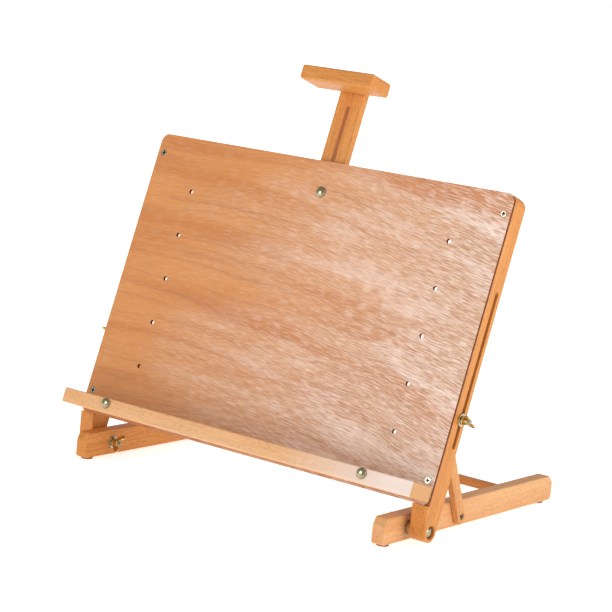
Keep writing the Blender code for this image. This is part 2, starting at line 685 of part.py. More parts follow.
def slot_bolt(side_name, side, frame):
    """Bolt that slides in the rail's slot, with its washer and wing nut outside."""
    slide = place(empty(side_name + "_slot_slide", (0.0, 0.0, 0.0)), frame,
                  board_point(0.0, SLOT_BACK, SLOT_BOLT_UP))
    outward = POINT_RIGHT if side > 0 else POINT_LEFT
    end = PANEL_W / 2 + GAP + WASHER_T + NUT_H + 0.0035
    length = end - INNER_X - GAP
    name = side_name + "_slot_bolt"
    profile = [(0.0, length), (BOLT_R - 0.0006, length), (BOLT_R, length - 0.0006),
               (BOLT_R, 0.0), (0.0, 0.0)]
    bolt = new_piece(name, turned(name, profile), NICKEL)
    place(bolt, slide, (side * (INNER_X + GAP), 0.0, 0.0), outward)
    face = PANEL_W / 2 + GAP
    washer(side_name + "_slot_washer", slide, (side * face, 0.0, 0.0), outward)
    wing_nut(side_name + "_slot_wing_nut", (side * (face + WASHER_T + GAP), 0.0, 0.0), outward,
             side * 50.0, slide)


# ---- assembly ------------------------------------------------------------------------
def assemble():
    frame = empty("board_pivot", (0.0, PIVOT_Y, PIVOT_Z), (-TILT, 0.0, 0.0))
    mast_slide = place(empty("mast_slide", (0.0, 0.0, 0.0)), frame,
                       board_point(0.0, MAST_FRONT, MAST_BOLT_UP))
    ledge_slide = place(empty("ledge_slide", (0.0, 0.0, 0.0)), frame,
                        board_point(0.0, 0.0, HOLE_FIRST))
    panel = drawing_board(frame)
    rails = {}
    feet = {}
    for side_name, side in SIDES.items():
        rails[side_name] = side_rail(side_name, side, frame, panel)
    top_rail(frame, rails)
    mast(mast_slide)
    mast_bolt(frame)
    ledge(frame, ledge_slide)
    for side_name, side in SIDES.items():
        feet[side_name] = foot(side_name, side)
        prop(side_name, side, feet[side_name])
        slot_bolt(side_name, side, frame)
    stretcher(feet)


assemble()
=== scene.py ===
"""The look of the tabletop easel: materials, fine hardware, light and camera.

The wooden bars and the board are the CAD nodes themselves, in procedural wood.
Bolts, screws, washers, wing nuts, spacers and pads are finer pieces that replace theirs.
Everything is in metres, in the CAD's own frame.
"""
import json
import math

import bmesh
import bpy
from mathutils import Matrix, Vector


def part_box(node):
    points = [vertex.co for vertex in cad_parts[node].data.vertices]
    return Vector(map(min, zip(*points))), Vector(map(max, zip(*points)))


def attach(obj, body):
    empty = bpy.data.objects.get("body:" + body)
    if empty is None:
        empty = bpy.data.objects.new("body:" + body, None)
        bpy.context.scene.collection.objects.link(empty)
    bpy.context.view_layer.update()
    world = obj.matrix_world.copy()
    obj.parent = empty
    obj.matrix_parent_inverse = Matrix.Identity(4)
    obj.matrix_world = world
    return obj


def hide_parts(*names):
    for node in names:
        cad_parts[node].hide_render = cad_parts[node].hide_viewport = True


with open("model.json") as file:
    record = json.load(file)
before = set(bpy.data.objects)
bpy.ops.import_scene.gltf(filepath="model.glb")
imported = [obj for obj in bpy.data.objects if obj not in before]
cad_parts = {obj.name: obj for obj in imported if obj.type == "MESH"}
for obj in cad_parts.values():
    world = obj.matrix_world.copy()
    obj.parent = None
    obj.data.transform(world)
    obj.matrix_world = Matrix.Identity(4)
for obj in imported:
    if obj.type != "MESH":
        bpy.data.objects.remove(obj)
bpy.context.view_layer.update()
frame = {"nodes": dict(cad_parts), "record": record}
NODES = frame["nodes"]
JOINTS = {joint["name"]: joint for joint in frame["record"]["behaviour"]["joints"]}

# ---- places taken from the frame ---------------------------------------------------
TILT = math.radians(18.0)
BACK = Vector((0.0, math.cos(TILT), -math.sin(TILT)))     # through the board, to its rear
UP = Vector((0.0, math.sin(TILT), math.cos(TILT)))        # up along the board
RIGHT = Vector((1.0, 0.0, 0.0))
PIVOT = Vector(JOINTS["board_tilt"]["pos_m"])
PROP_SCREW = Vector(JOINTS["right_prop_swing"]["pos_m"])
SLOT_BOLT = Vector((0.0, *JOINTS["right_slot_nut_turn"]["pos_m"][1:]))
PIVOT_BACK = 0.0207
PIVOT_BELOW = 0.0264
EDGE = PIVOT - BACK * PIVOT_BACK + UP * PIVOT_BELOW       # panel's lower front edge

HOLE_X = JOINTS["right_ledge_nut_turn"]["pos_m"][0]
SIDES = {"left": -1, "right": 1}

PANEL_T = 0.0042
LEDGE_FRONT = -0.0385
LEDGE_END_X = 0.2490           # just inside the ledge's right end
HOLE_UP = 0.0138
MAST_BOLT_UP = 0.3114
MAST_BACK = 0.0144
CROSS_RAIL_BACK = 0.0245
SCREW_X = 0.2412
SCREW_UP = {"lower": 0.0264, "upper": 0.3243}
HEAD_SCREW_X = 0.0095
HEAD_SCREW_UP = 0.4388
GAP = 0.0003
SKIN = 0.0006                  # depth of the layer that counts as the ledge's face
VENEER_T = 0.0003              # face veneers of the panel, over its darker core


def on_board(x, back, up):
    """World place of a point given across, behind and above the panel's lower edge."""
    return EDGE + RIGHT * x + BACK * back + UP * up


# ---- shader building ----------------------------------------------------------------
class Shader:
    """A material whose nodes are added one call at a time."""

    def __init__(self, name):
        self.material = bpy.data.materials.new(name)
        self.material.use_nodes = True
        self.nodes = self.material.node_tree.nodes
        self.links = self.material.node_tree.links
        self.surface = self.nodes["Principled BSDF"]

    def add(self, kind, settings=None, **inputs):
        """New node; settings are its properties, inputs are values or other sockets."""
        node = self.nodes.new("ShaderNode" + kind)
        for key, value in (settings or {}).items():
            setattr(node, key, value)
        for key, value in inputs.items():
            name = key.replace("_", " ")
            socket = node.inputs[int(name[1:])] if name[0] == "i" and name[1:].isdigit() \
                else node.inputs[name]
            self.feed(socket, value)
        return node

    def feed(self, socket, value):
        if isinstance(value, bpy.types.NodeSocket):
            self.links.new(value, socket)
        else:
            socket.default_value = value

    def math(self, operation, a, b=0.0, clamp=False):
        node = self.add("Math", {"operation": operation, "use_clamp": clamp}, i0=a, i1=b)
        return node.outputs[0]

    def mix(self, factor, a, b, blend="MIX"):
        node = self.add("Mix", {"data_type": "RGBA", "blend_type": blend})
        self.feed(node.inputs[0], factor)
        self.feed(node.inputs[6], a)
        self.feed(node.inputs[7], b)
        return node.outputs[2]

    def ramp(self, factor, stops):
        """Value ramp through (position, grey) stops."""
        node = self.add("ValToRGB", Fac=factor)
        elements = node.color_ramp.elements
        while len(elements) < len(stops):
            elements.new(0.5)
        for element, (position, grey) in zip(elements, stops):
            element.position = position
            element.color = (grey, grey, grey, 1.0)
        return node.outputs[0]

    def noise(self, vector, scale, detail=2.0, roughness=0.5):
        node = self.add("TexNoise", Vector=vector, Scale=scale, Detail=detail,
                        Roughness=roughness)
        return node.outputs[0]

    def scaled(self, vector, scale):
        return self.add("Mapping", Vector=vector, Scale=scale).outputs[0]

    def base(self, colour, roughness, bump=None, strength=0.2, distance=0.0003):
        self.feed(self.surface.inputs["Base Color"], colour)
        self.feed(self.surface.inputs["Roughness"], roughness)
        if bump is not None:
            node = self.add("Bump", Height=bump, Strength=strength, Distance=distance)
            self.links.new(node.outputs[0], self.surface.inputs["Normal"])


def rgba(red, green, blue):
    return (red, green, blue, 1.0)


def set_range(node, start, end, low, high):
    """Makes a Map Range node turn start..end into low..high."""
    for socket, value in zip(node.inputs[1:5], (start, end, low, high)):
        socket.default_value = value


# ---- wood ---------------------------------------------------------------------------
LONG = {"X": (1.0, 0.0, 0.0), "Y": (0.0, 1.0, 0.0), "Z": (0.0, 0.0, 1.0)}


def stretched(along, fine, coarse):
    """Texture scale that is fine across the grain and coarse along it."""
    return tuple(coarse if axis else fine for axis in LONG[along])


def beech(name, along, lean=0.0, seed=0.0, pale=0.0, painted_sheen=0.0):
    """Oiled beech: straight grain, soft tone bands and the small flecks of its rays.

    The last argument paints a sheen on the ledge's front face: a painted highlight that pales it
    towards its right-hand end.
    """
    shader = Shader(name)
    place = shader.add("TexCoord").outputs["Object"]
    turned = shader.add("Mapping", Vector=place, Rotation=(lean, 0.0, 0.0),
                        Location=(seed, seed * 1.7, seed * 2.9)).outputs[0]
    sway = shader.noise(turned, 7.0, 1.0)
    shift = shader.math("MULTIPLY", shader.math("SUBTRACT", sway, 0.5), 0.012)
    bent = shader.add("VectorMath", {"operation": "ADD"}, i0=turned, i1=shift).outputs[0]
    tone = shader.noise(shader.scaled(bent, stretched(along, 55.0, 3.0)), 1.0, 3.0)
    grain = shader.noise(shader.scaled(bent, stretched(along, 620.0, 16.0)), 1.0, 4.0, 0.62)
    fleck = shader.noise(shader.scaled(bent, stretched(along, 900.0, 190.0)), 1.0, 1.0)
    patch = shader.noise(turned, 26.0, 2.0)

    light = rgba(0.65 + 0.17 * pale, 0.280 + 0.25 * pale, 0.068 + 0.23 * pale)
    warm = rgba(0.57 + 0.21 * pale, 0.205 + 0.26 * pale, 0.037 + 0.19 * pale)
    dark = rgba(0.28 + 0.26 * pale, 0.075 + 0.18 * pale, 0.012 + 0.11 * pale)
    colour = shader.mix(shader.ramp(tone, [(0.33, 0.0), (0.68, 1.0)]), light, warm)
    colour = shader.mix(shader.ramp(grain, [(0.42, 0.0), (0.72, 0.42)]), colour, dark)
    spots = shader.ramp(fleck, [(0.58, 0.0), (0.67, 0.48)])
    colour = shader.mix(spots, colour, dark)
    colour = shader.mix(shader.ramp(patch, [(0.40, 0.0), (0.75, 0.22)]), colour, light)
    # painted sheen: the ledge's front face is painted paler towards its right-hand end, a painted
    # highlight
    if painted_sheen > 0.0:
        across = shader.add("SeparateXYZ", Vector=place).outputs[0]
        sheen_reach = shader.math("MULTIPLY", shader.math("SUBTRACT", across, 0.07), 6.5, True)
        inside = shader.math("LESS_THAN", across, LEDGE_END_X)
        depth = shader.add("VectorMath", {"operation": "DOT_PRODUCT"}, i0=place,
                           i1=BACK).outputs["Value"]
        front = shader.math("LESS_THAN", depth, EDGE.dot(BACK) + LEDGE_FRONT + SKIN)
        sheen_reach = shader.math("MULTIPLY", sheen_reach, shader.math("MULTIPLY", front, painted_sheen))
        colour = shader.mix(sheen_reach, colour, rgba(0.80, 0.700, 0.640))
        colour = shader.mix(inside, rgba(0.56, 0.290, 0.115), colour)
    rough = shader.ramp(grain, [(0.30, 0.40), (0.75, 0.55)])
    height = shader.math("SUBTRACT", grain, shader.math("MULTIPLY", spots, 0.6))
    shader.base(colour, rough, height, 0.22, 0.0003)
    shader.surface.inputs["Specular IOR Level"].default_value = 0.26
    return shader.material


def plywood():
    """Varnished veneer with open pores, a painted sheen and painted glints; its edges and hole
    walls show the dark core.
    """
    shader = Shader("plywood_veneer")
    place = shader.add("TexCoord").outputs["Object"]
    shifted = shader.add("Mapping", Vector=place, Location=-EDGE).outputs[0]
    board = shader.add("Mapping", Vector=shifted, Rotation=(TILT, 0.0, 0.0)).outputs[0]
    split = shader.add("SeparateXYZ", Vector=board)
    across, depth, up = split.outputs[0], split.outputs[1], split.outputs[2]

    # the figure runs level at the left and slopes down towards the right
    slope = shader.math("ADD", shader.math("MULTIPLY", across, 0.10),
                        shader.math("MULTIPLY", shader.math("MULTIPLY", across, across), 0.26))
    wave = shader.math("MULTIPLY", shader.math("SUBTRACT", shader.noise(board, 4.5, 2.0), 0.5),
                       0.030)
    level = shader.math("ADD", shader.math("ADD", up, slope), wave)
    figure = shader.add("CombineXYZ", X=across, Y=depth, Z=level).outputs[0]

    bands = shader.noise(shader.scaled(figure, (1.6, 1.0, 24.0)), 1.0, 3.0, 0.55)
    streak = shader.noise(shader.scaled(figure, (5.0, 1.0, 190.0)), 1.0, 3.0, 0.60)
    pores = shader.noise(shader.scaled(figure, (60.0, 1.0, 800.0)), 1.0, 2.0, 0.5)
    glints = shader.noise(shader.scaled(figure, (66.0, 3.0, 880.0)), 1.0, 2.0, 0.5)
    sheen_noise = shader.noise(shader.scaled(figure, (5.0, 1.0, 36.0)), 1.0, 3.0, 0.6)
    cloud = shader.noise(shader.scaled(board, (3.0, 1.0, 8.0)), 1.0, 2.0, 0.5)

    # veneer turns from warm tan at the left to a paler pink at the right and the bottom: a
    # painted sheen standing for a softbox's reflection, broken by random patches of tone
    sheen_and_tone_drift = shader.math("ADD", shader.math("MULTIPLY", across, 1.90), 0.45)
    sheen_and_tone_drift = shader.math("SUBTRACT", sheen_and_tone_drift, shader.math("MULTIPLY", up, 0.75))
    patchy = shader.math("MULTIPLY", shader.math("SUBTRACT", cloud, 0.5), 0.9)
    sheen_and_tone_drift = shader.math("ADD", sheen_and_tone_drift, patchy, True)
    warm = rgba(0.60, 0.248, 0.076)
    sheen_tone = rgba(0.60, 0.390, 0.270)
    amber = rgba(0.50, 0.170, 0.042)
    umber = rgba(0.37, 0.145, 0.058)
    # pale is the colour of the painted sheen streaks and the painted glints
    pale = rgba(0.86, 0.700, 0.610)
    colour = shader.mix(sheen_and_tone_drift, warm, sheen_tone)
    colour = shader.mix(shader.ramp(bands, [(0.49, 0.0), (0.60, 0.75)]), colour, amber)
    colour = shader.mix(shader.ramp(streak, [(0.50, 0.0), (0.72, 0.50)]), colour, umber)
    # how strongly the pore lines and the painted glints show, following the painted sheen
    sheen_reach = shader.math("ADD", shader.math("MULTIPLY", sheen_and_tone_drift, 0.75), 0.10)
    front = shader.math("LESS_THAN", depth, PANEL_T / 2)
    # painted sheen in streaks along the grain, on the front face only
    sheen_streaks = shader.math("MULTIPLY", shader.ramp(sheen_noise, [(0.48, 0.0), (0.64, 0.85)]),
                        shader.math("MULTIPLY", sheen_and_tone_drift, front))
    colour = shader.mix(sheen_streaks, colour, pale)
    lines = shader.math("MULTIPLY", shader.ramp(pores, [(0.49, 0.0), (0.57, 0.88)]), sheen_reach)
    colour = shader.mix(lines, colour, umber)
    # painted glints: pale highlight flecks along the grain, strongest where the painted sheen is
    painted_glints = shader.math("MULTIPLY", shader.ramp(glints, [(0.50, 0.0), (0.59, 0.80)]), sheen_reach)
    colour = shader.mix(painted_glints, colour, pale)

    # plies: face veneer, dark core, rear veneer
    behind = shader.math("GREATER_THAN", depth, VENEER_T)
    before = shader.math("LESS_THAN", depth, PANEL_T - VENEER_T)
    core = shader.math("MULTIPLY", behind, before)
    core_grain = shader.noise(shader.scaled(board, (40.0, 900.0, 300.0)), 1.0, 2.0)
    core_colour = shader.mix(core_grain, rgba(0.09, 0.018, 0.001), rgba(0.20, 0.048, 0.005))
    colour = shader.mix(core, colour, core_colour)
    satin = shader.ramp(streak, [(0.30, 0.25), (0.75, 0.36)])
    rough = shader.math("ADD", satin, shader.math("MULTIPLY", core, 0.6), True)
    height = shader.math("SUBTRACT", shader.math("MULTIPLY", glints, 0.6), lines)
    shader.base(colour, rough, height, 0.32, 0.0002)
    shader.surface.inputs["Specular IOR Level"].default_value = 0.26
    return shader.material


# ---- metal and rubber ------------------------------------------------------------------
def metal(name, clean, dull, roughness, shaded_recess=False):
    """Plated or cast metal: cloudy tone, faint scratches and a little tarnish.

    With the last argument set, the metal is painted almost black below its own z = 0, which is
    where a screw's recess lies: painted shade in the recess.
    """
    shader = Shader(name)
    place = shader.add("TexCoord").outputs["Object"]
    cloud = shader.noise(place, 260.0, 3.0, 0.6)
    scratch = shader.noise(shader.scaled(place, (900.0, 900.0, 6000.0)), 1.0, 2.0, 0.6)
    colour = shader.mix(shader.ramp(cloud, [(0.38, 0.0), (0.72, 0.9)]), clean, dull)
    # painted shade: the cross recess is painted almost black
    if shaded_recess:
        height = shader.add("SeparateXYZ", Vector=place).outputs[2]
        recess_shade = shader.add("MapRange", Value=height)
        set_range(recess_shade, -0.0004, -0.00005, 1.0, 0.0)
        colour = shader.mix(recess_shade.outputs[0], colour, rgba(0.030, 0.022, 0.014))
    wear = shader.math("MULTIPLY", shader.math("SUBTRACT", cloud, 0.5), 0.25)
    rough = shader.math("ADD", shader.math("MULTIPLY", scratch, 0.16),
                        shader.math("ADD", wear, roughness - 0.06), True)
    shader.base(colour, rough, scratch, 0.06, 0.0001)
    shader.surface.inputs["Metallic"].default_value = 1.0
    return shader.material


def rubber():
    shader = Shader("pad_rubber")
    place = shader.add("TexCoord").outputs["Object"]
    grain = shader.noise(place, 1800.0, 3.0, 0.6)
    cloud = shader.noise(place, 120.0, 2.0)
    colour = shader.mix(cloud, rgba(0.13, 0.032, 0.012), rgba(0.27, 0.085, 0.035))
    rough = shader.ramp(grain, [(0.30, 0.62), (0.75, 0.88)])
    shader.base(colour, rough, grain, 0.35, 0.0002)
    return shader.material


BRASS = metal("brass_cast", rgba(0.62, 0.44, 0.16), rgba(0.34, 0.22, 0.07), 0.22)
NICKEL = metal("nickel_plate", rgba(0.42, 0.37, 0.24), rgba(0.22, 0.18, 0.09), 0.16)
STEEL = metal("steel_plate", rgba(0.52, 0.48, 0.38), rgba(0.28, 0.24, 0.16), 0.24)
# screws carry painted shade in their cross recesses
SCREW = metal("screw_plate", rgba(0.50, 0.46, 0.37), rgba(0.30, 0.26, 0.18), 0.24, True)
RUBBER = rubber()


# ---- dressing the CAD nodes --------------------------------------------------------------
def dress(node, material):
    """Gives a CAD node its material."""
    for slot in NODES[node].material_slots:
        slot.material = material


def dress_wood():
    dress("drawing_board", plywood())
    for index, side in enumerate(SIDES):
        dress(side + "_side_rail", beech(side + "_rail_beech", "Z", TILT, 1.3 + index))
        # painted light: the right foot is made paler than the left, standing for its brightly lit
        # outer side
        dress(side + "_foot", beech(side + "_foot_beech", "Y", 0.0, 4.1 + index, 0.45 * index))
        lean = -math.atan2(PROP_SCREW.y - SLOT_BOLT.y, SLOT_BOLT.z - PROP_SCREW.z)
        dress(side + "_prop", beech(side + "_prop_beech", "Z", lean, 7.7 + index, 0.20))
        dress(side + "_stretcher_dowel", beech(side + "_pin_beech", "X", 0.0, 9.5 + index))
        dress(side + "_top_rail_dowel", beech(side + "_top_pin_beech", "X", 0.0, 9.9 + index))
    dress("top_cross_rail", beech("cross_rail_beech", "X", TILT, 11.2))
    dress("rear_stretcher", beech("stretcher_beech", "X", 0.0, 12.6))
    dress("mast", beech("mast_beech", "Z", TILT, 14.9))
    dress("clamp_head", beech("head_beech", "X", TILT, 16.3))
    # the ledge's last argument paints a sheen on its front face
    dress("ledge", beech("ledge_beech", "X", TILT, 18.8, 0.66, 0.85))


# ---- meshes for the hardware ---------------------------------------------------------------
ROUND = 48


def lathe(name, profile, steps=ROUND):
    """Closed turned mesh from (radius, height) points, listed from top to bottom."""
    shape = bmesh.new()
    verts = [shape.verts.new((radius, 0.0, height)) for radius, height in profile]
    edges = [shape.edges.new(pair) for pair in zip(verts, verts[1:])]
    if profile[0][0] > 0.0:
        edges.append(shape.edges.new((verts[-1], verts[0])))
    bmesh.ops.spin(shape, geom=verts + edges, cent=(0.0, 0.0, 0.0), axis=(0.0, 0.0, 1.0),
                   angle=math.tau, steps=steps, use_merge=True)
    bmesh.ops.remove_doubles(shape, verts=shape.verts, dist=0.000005)
    bmesh.ops.recalc_face_normals(shape, faces=shape.faces)
    mesh = bpy.data.meshes.new(name)
    shape.to_mesh(mesh)
    shape.free()
    return shaded(mesh)


def shaded(mesh, angle=32.0):
    mesh.shade_smooth()
    mesh.set_sharp_from_angle(angle=math.radians(angle))
    return mesh


def settled(obj):
    """Mesh of an object with its modifiers applied; the object and its data go."""
    bpy.context.view_layer.update()
    evaluated = obj.evaluated_get(bpy.context.evaluated_depsgraph_get())
    mesh = bpy.data.meshes.new_from_object(evaluated)
    bpy.data.objects.remove(obj, do_unlink=True)
    return mesh


def temporary(name, mesh):
    obj = bpy.data.objects.new(name, mesh)
    bpy.context.scene.collection.objects.link(obj)
    return obj


def boolean(obj, other, operation):
    modifier = obj.modifiers.new(operation, "BOOLEAN")
    modifier.operation = operation
    modifier.object = other


def piece(name, mesh, material, point, axis, body, replaced, turn=0.0):
    """Puts a hardware mesh with its Z along axis at point, riding on a CAD body."""
    obj = bpy.data.objects.new(name, mesh)
    bpy.context.scene.collection.objects.link(obj)
    obj.data.materials.clear()
    obj.data.materials.append(material)
    facing = Vector(axis).to_track_quat("Z", "Y").to_matrix().to_4x4()
    obj.matrix_world = Matrix.Translation(point) @ facing @ Matrix.Rotation(turn, 4, "Z")
    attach(obj, body)
    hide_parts(replaced)


def arc(centre_r, centre_z, radius, start, end, steps):
    """(radius, height) points of a round stretch; angles in degrees."""
    points = []
    for i in range(steps + 1):
        angle = math.radians(start + (end - start) * i / steps)
        points.append((centre_r + radius * math.cos(angle), centre_z + radius * math.sin(angle)))
    return points


THREAD_PITCH = 0.0008
SHANK_R = 0.0024
HEAD_R = 0.0063
HEAD_T = 0.0033
BORE_R = 0.0027                # holes in washers, spacers and nuts
WASHER_R = 0.0074
WASHER_T = 0.0012
SPACER_R = 0.0080
SPACER_T = 0.0077
SCREW_HEAD_R = 0.0038
SCREW_SHANK_R = 0.0018


def threads(top, bottom, radius):
    """Zigzag of thread crests and roots down a shank, as profile points."""
    points = []
    height = top
    while height - THREAD_PITCH > bottom:
        points.append((radius, height))
        points.append((radius - 0.0004, height - THREAD_PITCH / 2))
        height -= THREAD_PITCH
    return points


def dome_bolt(length, thread_from):
    """Carriage bolt: flattened dome, a plain shank, then threads to a chamfered end."""
    profile = [(0.0, HEAD_T)]
    for i in range(1, 12):
        angle = math.radians(90.0 - i * 7.4)
        profile.append((HEAD_R * math.cos(angle), HEAD_T * (0.16 + 0.84 * math.sin(angle))))
    profile += [(HEAD_R, HEAD_T * 0.16), (HEAD_R - 0.0002, 0.0), (SHANK_R, 0.0)]
    profile += threads(-thread_from, -length + 0.0008, SHANK_R)
    profile += [(SHANK_R - 0.0002, -length + 0.0007), (SHANK_R - 0.0008, -length), (0.0, -length)]
    return lathe("dome_bolt", profile)


def stud(length, thread_from):
    """Headless shank, threaded at its outer end, z = 0 at the inner end."""
    profile = [(0.0, length), (SHANK_R - 0.0007, length), (SHANK_R, length - 0.0007)]
    profile += threads(length - 0.0008, thread_from, SHANK_R)
    profile += [(SHANK_R, thread_from), (SHANK_R, 0.0), (0.0, 0.0)]
    return lathe("stud", profile)


def washer(outer, inner, thick):
    edge = 0.0003
    profile = [(inner, thick - edge), (inner + edge, thick)]
    profile += arc(outer - edge, thick - edge, edge, 90.0, 0.0, 3)
    profile += arc(outer - edge, edge, edge, 0.0, -90.0, 3)
    profile += [(inner + edge, 0.0), (inner, edge)]
    return lathe("washer", profile)


def cross_recess(width, depth):
    """Cutter for a cross-headed screw: two tapered blades crossing on the axis."""
    shape = bmesh.new()
    for turn in (0.0, math.pi / 2):
        made = bmesh.ops.create_cone(shape, cap_ends=True, segments=4, radius1=width * 0.30,
                                     radius2=width * 0.72, depth=depth)
        bmesh.ops.rotate(shape, verts=made["verts"], cent=(0.0, 0.0, 0.0),
                         matrix=Matrix.Rotation(math.pi / 4, 3, "Z"))
        bmesh.ops.scale(shape, verts=made["verts"], vec=(1.0, 0.32, 1.0))
        bmesh.ops.rotate(shape, verts=made["verts"], cent=(0.0, 0.0, 0.0),
                         matrix=Matrix.Rotation(turn, 3, "Z"))
    bmesh.ops.translate(shape, verts=shape.verts, vec=(0.0, 0.0, 0.0003 - depth / 2))
    mesh = bpy.data.meshes.new("cross")
    shape.to_mesh(mesh)
    shape.free()
    return mesh


def wood_screw(length):
    """Countersunk cross-headed screw with a threaded, pointed shank; face at z = 0."""
    shank = SCREW_SHANK_R
    profile = [(0.0, 0.0), (SCREW_HEAD_R - 0.0003, 0.0), (SCREW_HEAD_R, -0.0003)]
    profile += [(shank, -SCREW_HEAD_R * 0.85), (shank, -0.0045)]
    profile += threads(-0.0046, -length * 0.8, shank)
    profile += [(shank - 0.0004, -length * 0.82), (0.0, -length)]
    body = temporary("screw", lathe("screw", profile))
    cutter = temporary("cross", cross_recess(SCREW_HEAD_R * 1.45, 0.0024))
    boolean(body, cutter, "DIFFERENCE")
    body.modifiers[0].use_self = True
    mesh = settled(body)
    bpy.data.objects.remove(cutter, do_unlink=True)
    return shaded(mesh)


NUT_H = 0.0075


def ear_outline(side):
    """One wing's outline: a neck that rises from the hub into a round lobe."""
    lobe = Vector((0.0083, 0.0092))
    points = [Vector((0.0010, 0.0012)), Vector((0.0056, 0.0018))]
    for i in range(13):
        angle = math.radians(-62.0 + i * 18.0)
        points.append(lobe + Vector((math.cos(angle), math.sin(angle))) * 0.0032)
    points += [Vector((0.0034, 0.0070)), Vector((0.0010, 0.0066))]
    return [(side * p.x, 0.0, p.y) for p in points]


def wing_nut():
    """Cast wing nut: hub and two ears melted together, bored through."""
    hub_profile = [(0.0, NUT_H)] + arc(0.0034, NUT_H - 0.0006, 0.0006, 90.0, 10.0, 4)
    hub_profile += [(0.0047, 0.0012), (0.0052, 0.0009)]
    hub_profile += [(0.0052, 0.0002), (0.0050, 0.0), (0.0, 0.0)]
    hub = temporary("hub", lathe("hub", hub_profile, 40))
    ears = []
    for side in SIDES.values():
        shape = bmesh.new()
        face = shape.faces.new([shape.verts.new(p) for p in ear_outline(side)])
        made = bmesh.ops.extrude_face_region(shape, geom=[face])
        moved = [g for g in made["geom"] if isinstance(g, bmesh.types.BMVert)]
        bmesh.ops.translate(shape, verts=moved, vec=(0.0, 0.0021, 0.0))
        bmesh.ops.translate(shape, verts=shape.verts, vec=(0.0, -0.00105, 0.0))
        bmesh.ops.recalc_face_normals(shape, faces=shape.faces)
        mesh = bpy.data.meshes.new("ear")
        shape.to_mesh(mesh)
        shape.free()
        ear = temporary("ear", mesh)
        boolean(hub, ear, "UNION")
        ears.append(ear)
    melt = hub.modifiers.new("melt", "REMESH")
    melt.mode = "VOXEL"
    melt.voxel_size = 0.00036
    ease = hub.modifiers.new("ease", "SMOOTH")
    ease.factor = 0.5
    ease.iterations = 5
    blank = temporary("blank", settled(hub))
    bore = temporary("bore", lathe("bore", [(0.0, 0.02), (BORE_R, 0.02), (BORE_R, -0.01),
                                            (0.0, -0.01)], 40))
    boolean(blank, bore, "DIFFERENCE")
    mesh = settled(blank)
    for helper in ears + [bore]:
        bpy.data.objects.remove(helper, do_unlink=True)
    return shaded(mesh, 40.0)


def pad():
    radius = 0.0070
    height = 0.0017
    profile = [(0.0, height), (radius - 0.0004, height)]
    profile += arc(radius - 0.0004, height - 0.0004, 0.0004, 90.0, 0.0, 3)
    profile += arc(radius - 0.0004, 0.0004, 0.0004, 0.0, -90.0, 3)
    profile += [(0.0, 0.0)]
    return lathe("pad", profile)


# ---- fitting the hardware ------------------------------------------------------------------
WASHER = washer(WASHER_R, BORE_R, WASHER_T)
WING_NUT = wing_nut()
# ears' turn about the bolt, in degrees, as the nuts happen to have been left
NUT_TURNS = {"left_pivot": 53.0, "right_pivot": -53.0, "left_slot": 40.0, "right_slot": -40.0,
             "left_ledge": -20.0, "right_ledge": 20.0, "mast": 25.0}


def fit_wing_nuts():
    for place, turn in NUT_TURNS.items():
        joint = JOINTS[place + "_nut_turn"]
        seat = Vector(joint["pos_m"])
        if place == "mast":
            seat += BACK * GAP
        piece(place + "_wing_nut_fine", WING_NUT.copy(), BRASS, seat, joint["axis"],
              joint["child"], place + "_wing_nut", math.radians(turn))


def fit_board_hardware():
    ledge_bolt = dome_bolt(0.0557, 0.040)
    for side, sign in SIDES.items():
        front = on_board(sign * HOLE_X, LEDGE_FRONT - GAP, HOLE_UP)
        name = side + "_ledge_bolt"
        piece(name + "_fine", ledge_bolt.copy(), NICKEL, front, -BACK, "ledge", name)
        rear = on_board(sign * HOLE_X, PANEL_T + GAP, HOLE_UP)
        name = side + "_ledge_washer"
        piece(name + "_fine", WASHER.copy(), STEEL, rear, BACK, "board", name)
        for level, up in SCREW_UP.items():
            name = side + "_" + level + "_board_screw"
            piece(name + "_fine", wood_screw(0.018), SCREW,
                  on_board(sign * SCREW_X, 0.0, up), -BACK, "board", name,
                  sign * up * 5.0)
        name = side + "_head_screw"
        piece(name + "_fine", wood_screw(0.026), SCREW,
              on_board(sign * HEAD_SCREW_X, MAST_BACK, HEAD_SCREW_UP), BACK, "mast", name,
              sign * 0.6)
    piece("mast_bolt_fine", dome_bolt(0.0375, 0.022), NICKEL,
          on_board(0.0, -GAP, MAST_BOLT_UP), -BACK, "board", "mast_bolt")
    piece("mast_washer_fine", WASHER.copy(), STEEL,
          on_board(0.0, CROSS_RAIL_BACK + GAP, MAST_BOLT_UP), BACK, "board", "mast_washer")


def fit_base_hardware():
    spacer = washer(SPACER_R, BORE_R, SPACER_T)
    for side, sign in SIDES.items():
        outward = RIGHT * sign
        low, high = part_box(side + "_pivot_bolt")
        outer = high.x if sign > 0 else low.x
        inner = low.x if sign > 0 else high.x
        seat = Vector((outer - sign * HEAD_T, PIVOT.y, PIVOT.z))
        length = abs(seat.x - inner)
        name = side + "_pivot_bolt"
        piece(name + "_fine", dome_bolt(length, length - 0.016), NICKEL, seat, outward, "base",
              name)
        for kind, mesh in (("spacer", spacer), ("washer", WASHER)):
            name = side + "_pivot_" + kind
            low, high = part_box(name)
            near = low.x if sign > 0 else high.x
            far = high.x if sign > 0 else low.x
            start = near if kind == "spacer" else far
            axis = outward if kind == "spacer" else -outward
            piece(name + "_fine", mesh.copy(), STEEL, Vector((start, PIVOT.y, PIVOT.z)), axis,
                  "base", name)
        name = side + "_prop_screw"
        low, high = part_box(name)
        face = high.x if sign > 0 else low.x
        piece(name + "_fine", wood_screw(0.020), SCREW,
              Vector((face, PROP_SCREW.y, PROP_SCREW.z)), outward, "base", name, 0.4)
        for end in ("front", "rear"):
            name = side + "_" + end + "_pad"
            low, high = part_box(name)
            middle = (low + high) / 2
            piece(name + "_fine", pad(), RUBBER, Vector((middle.x, middle.y, low.z)),
                  (0.0, 0.0, 1.0), "base", name)


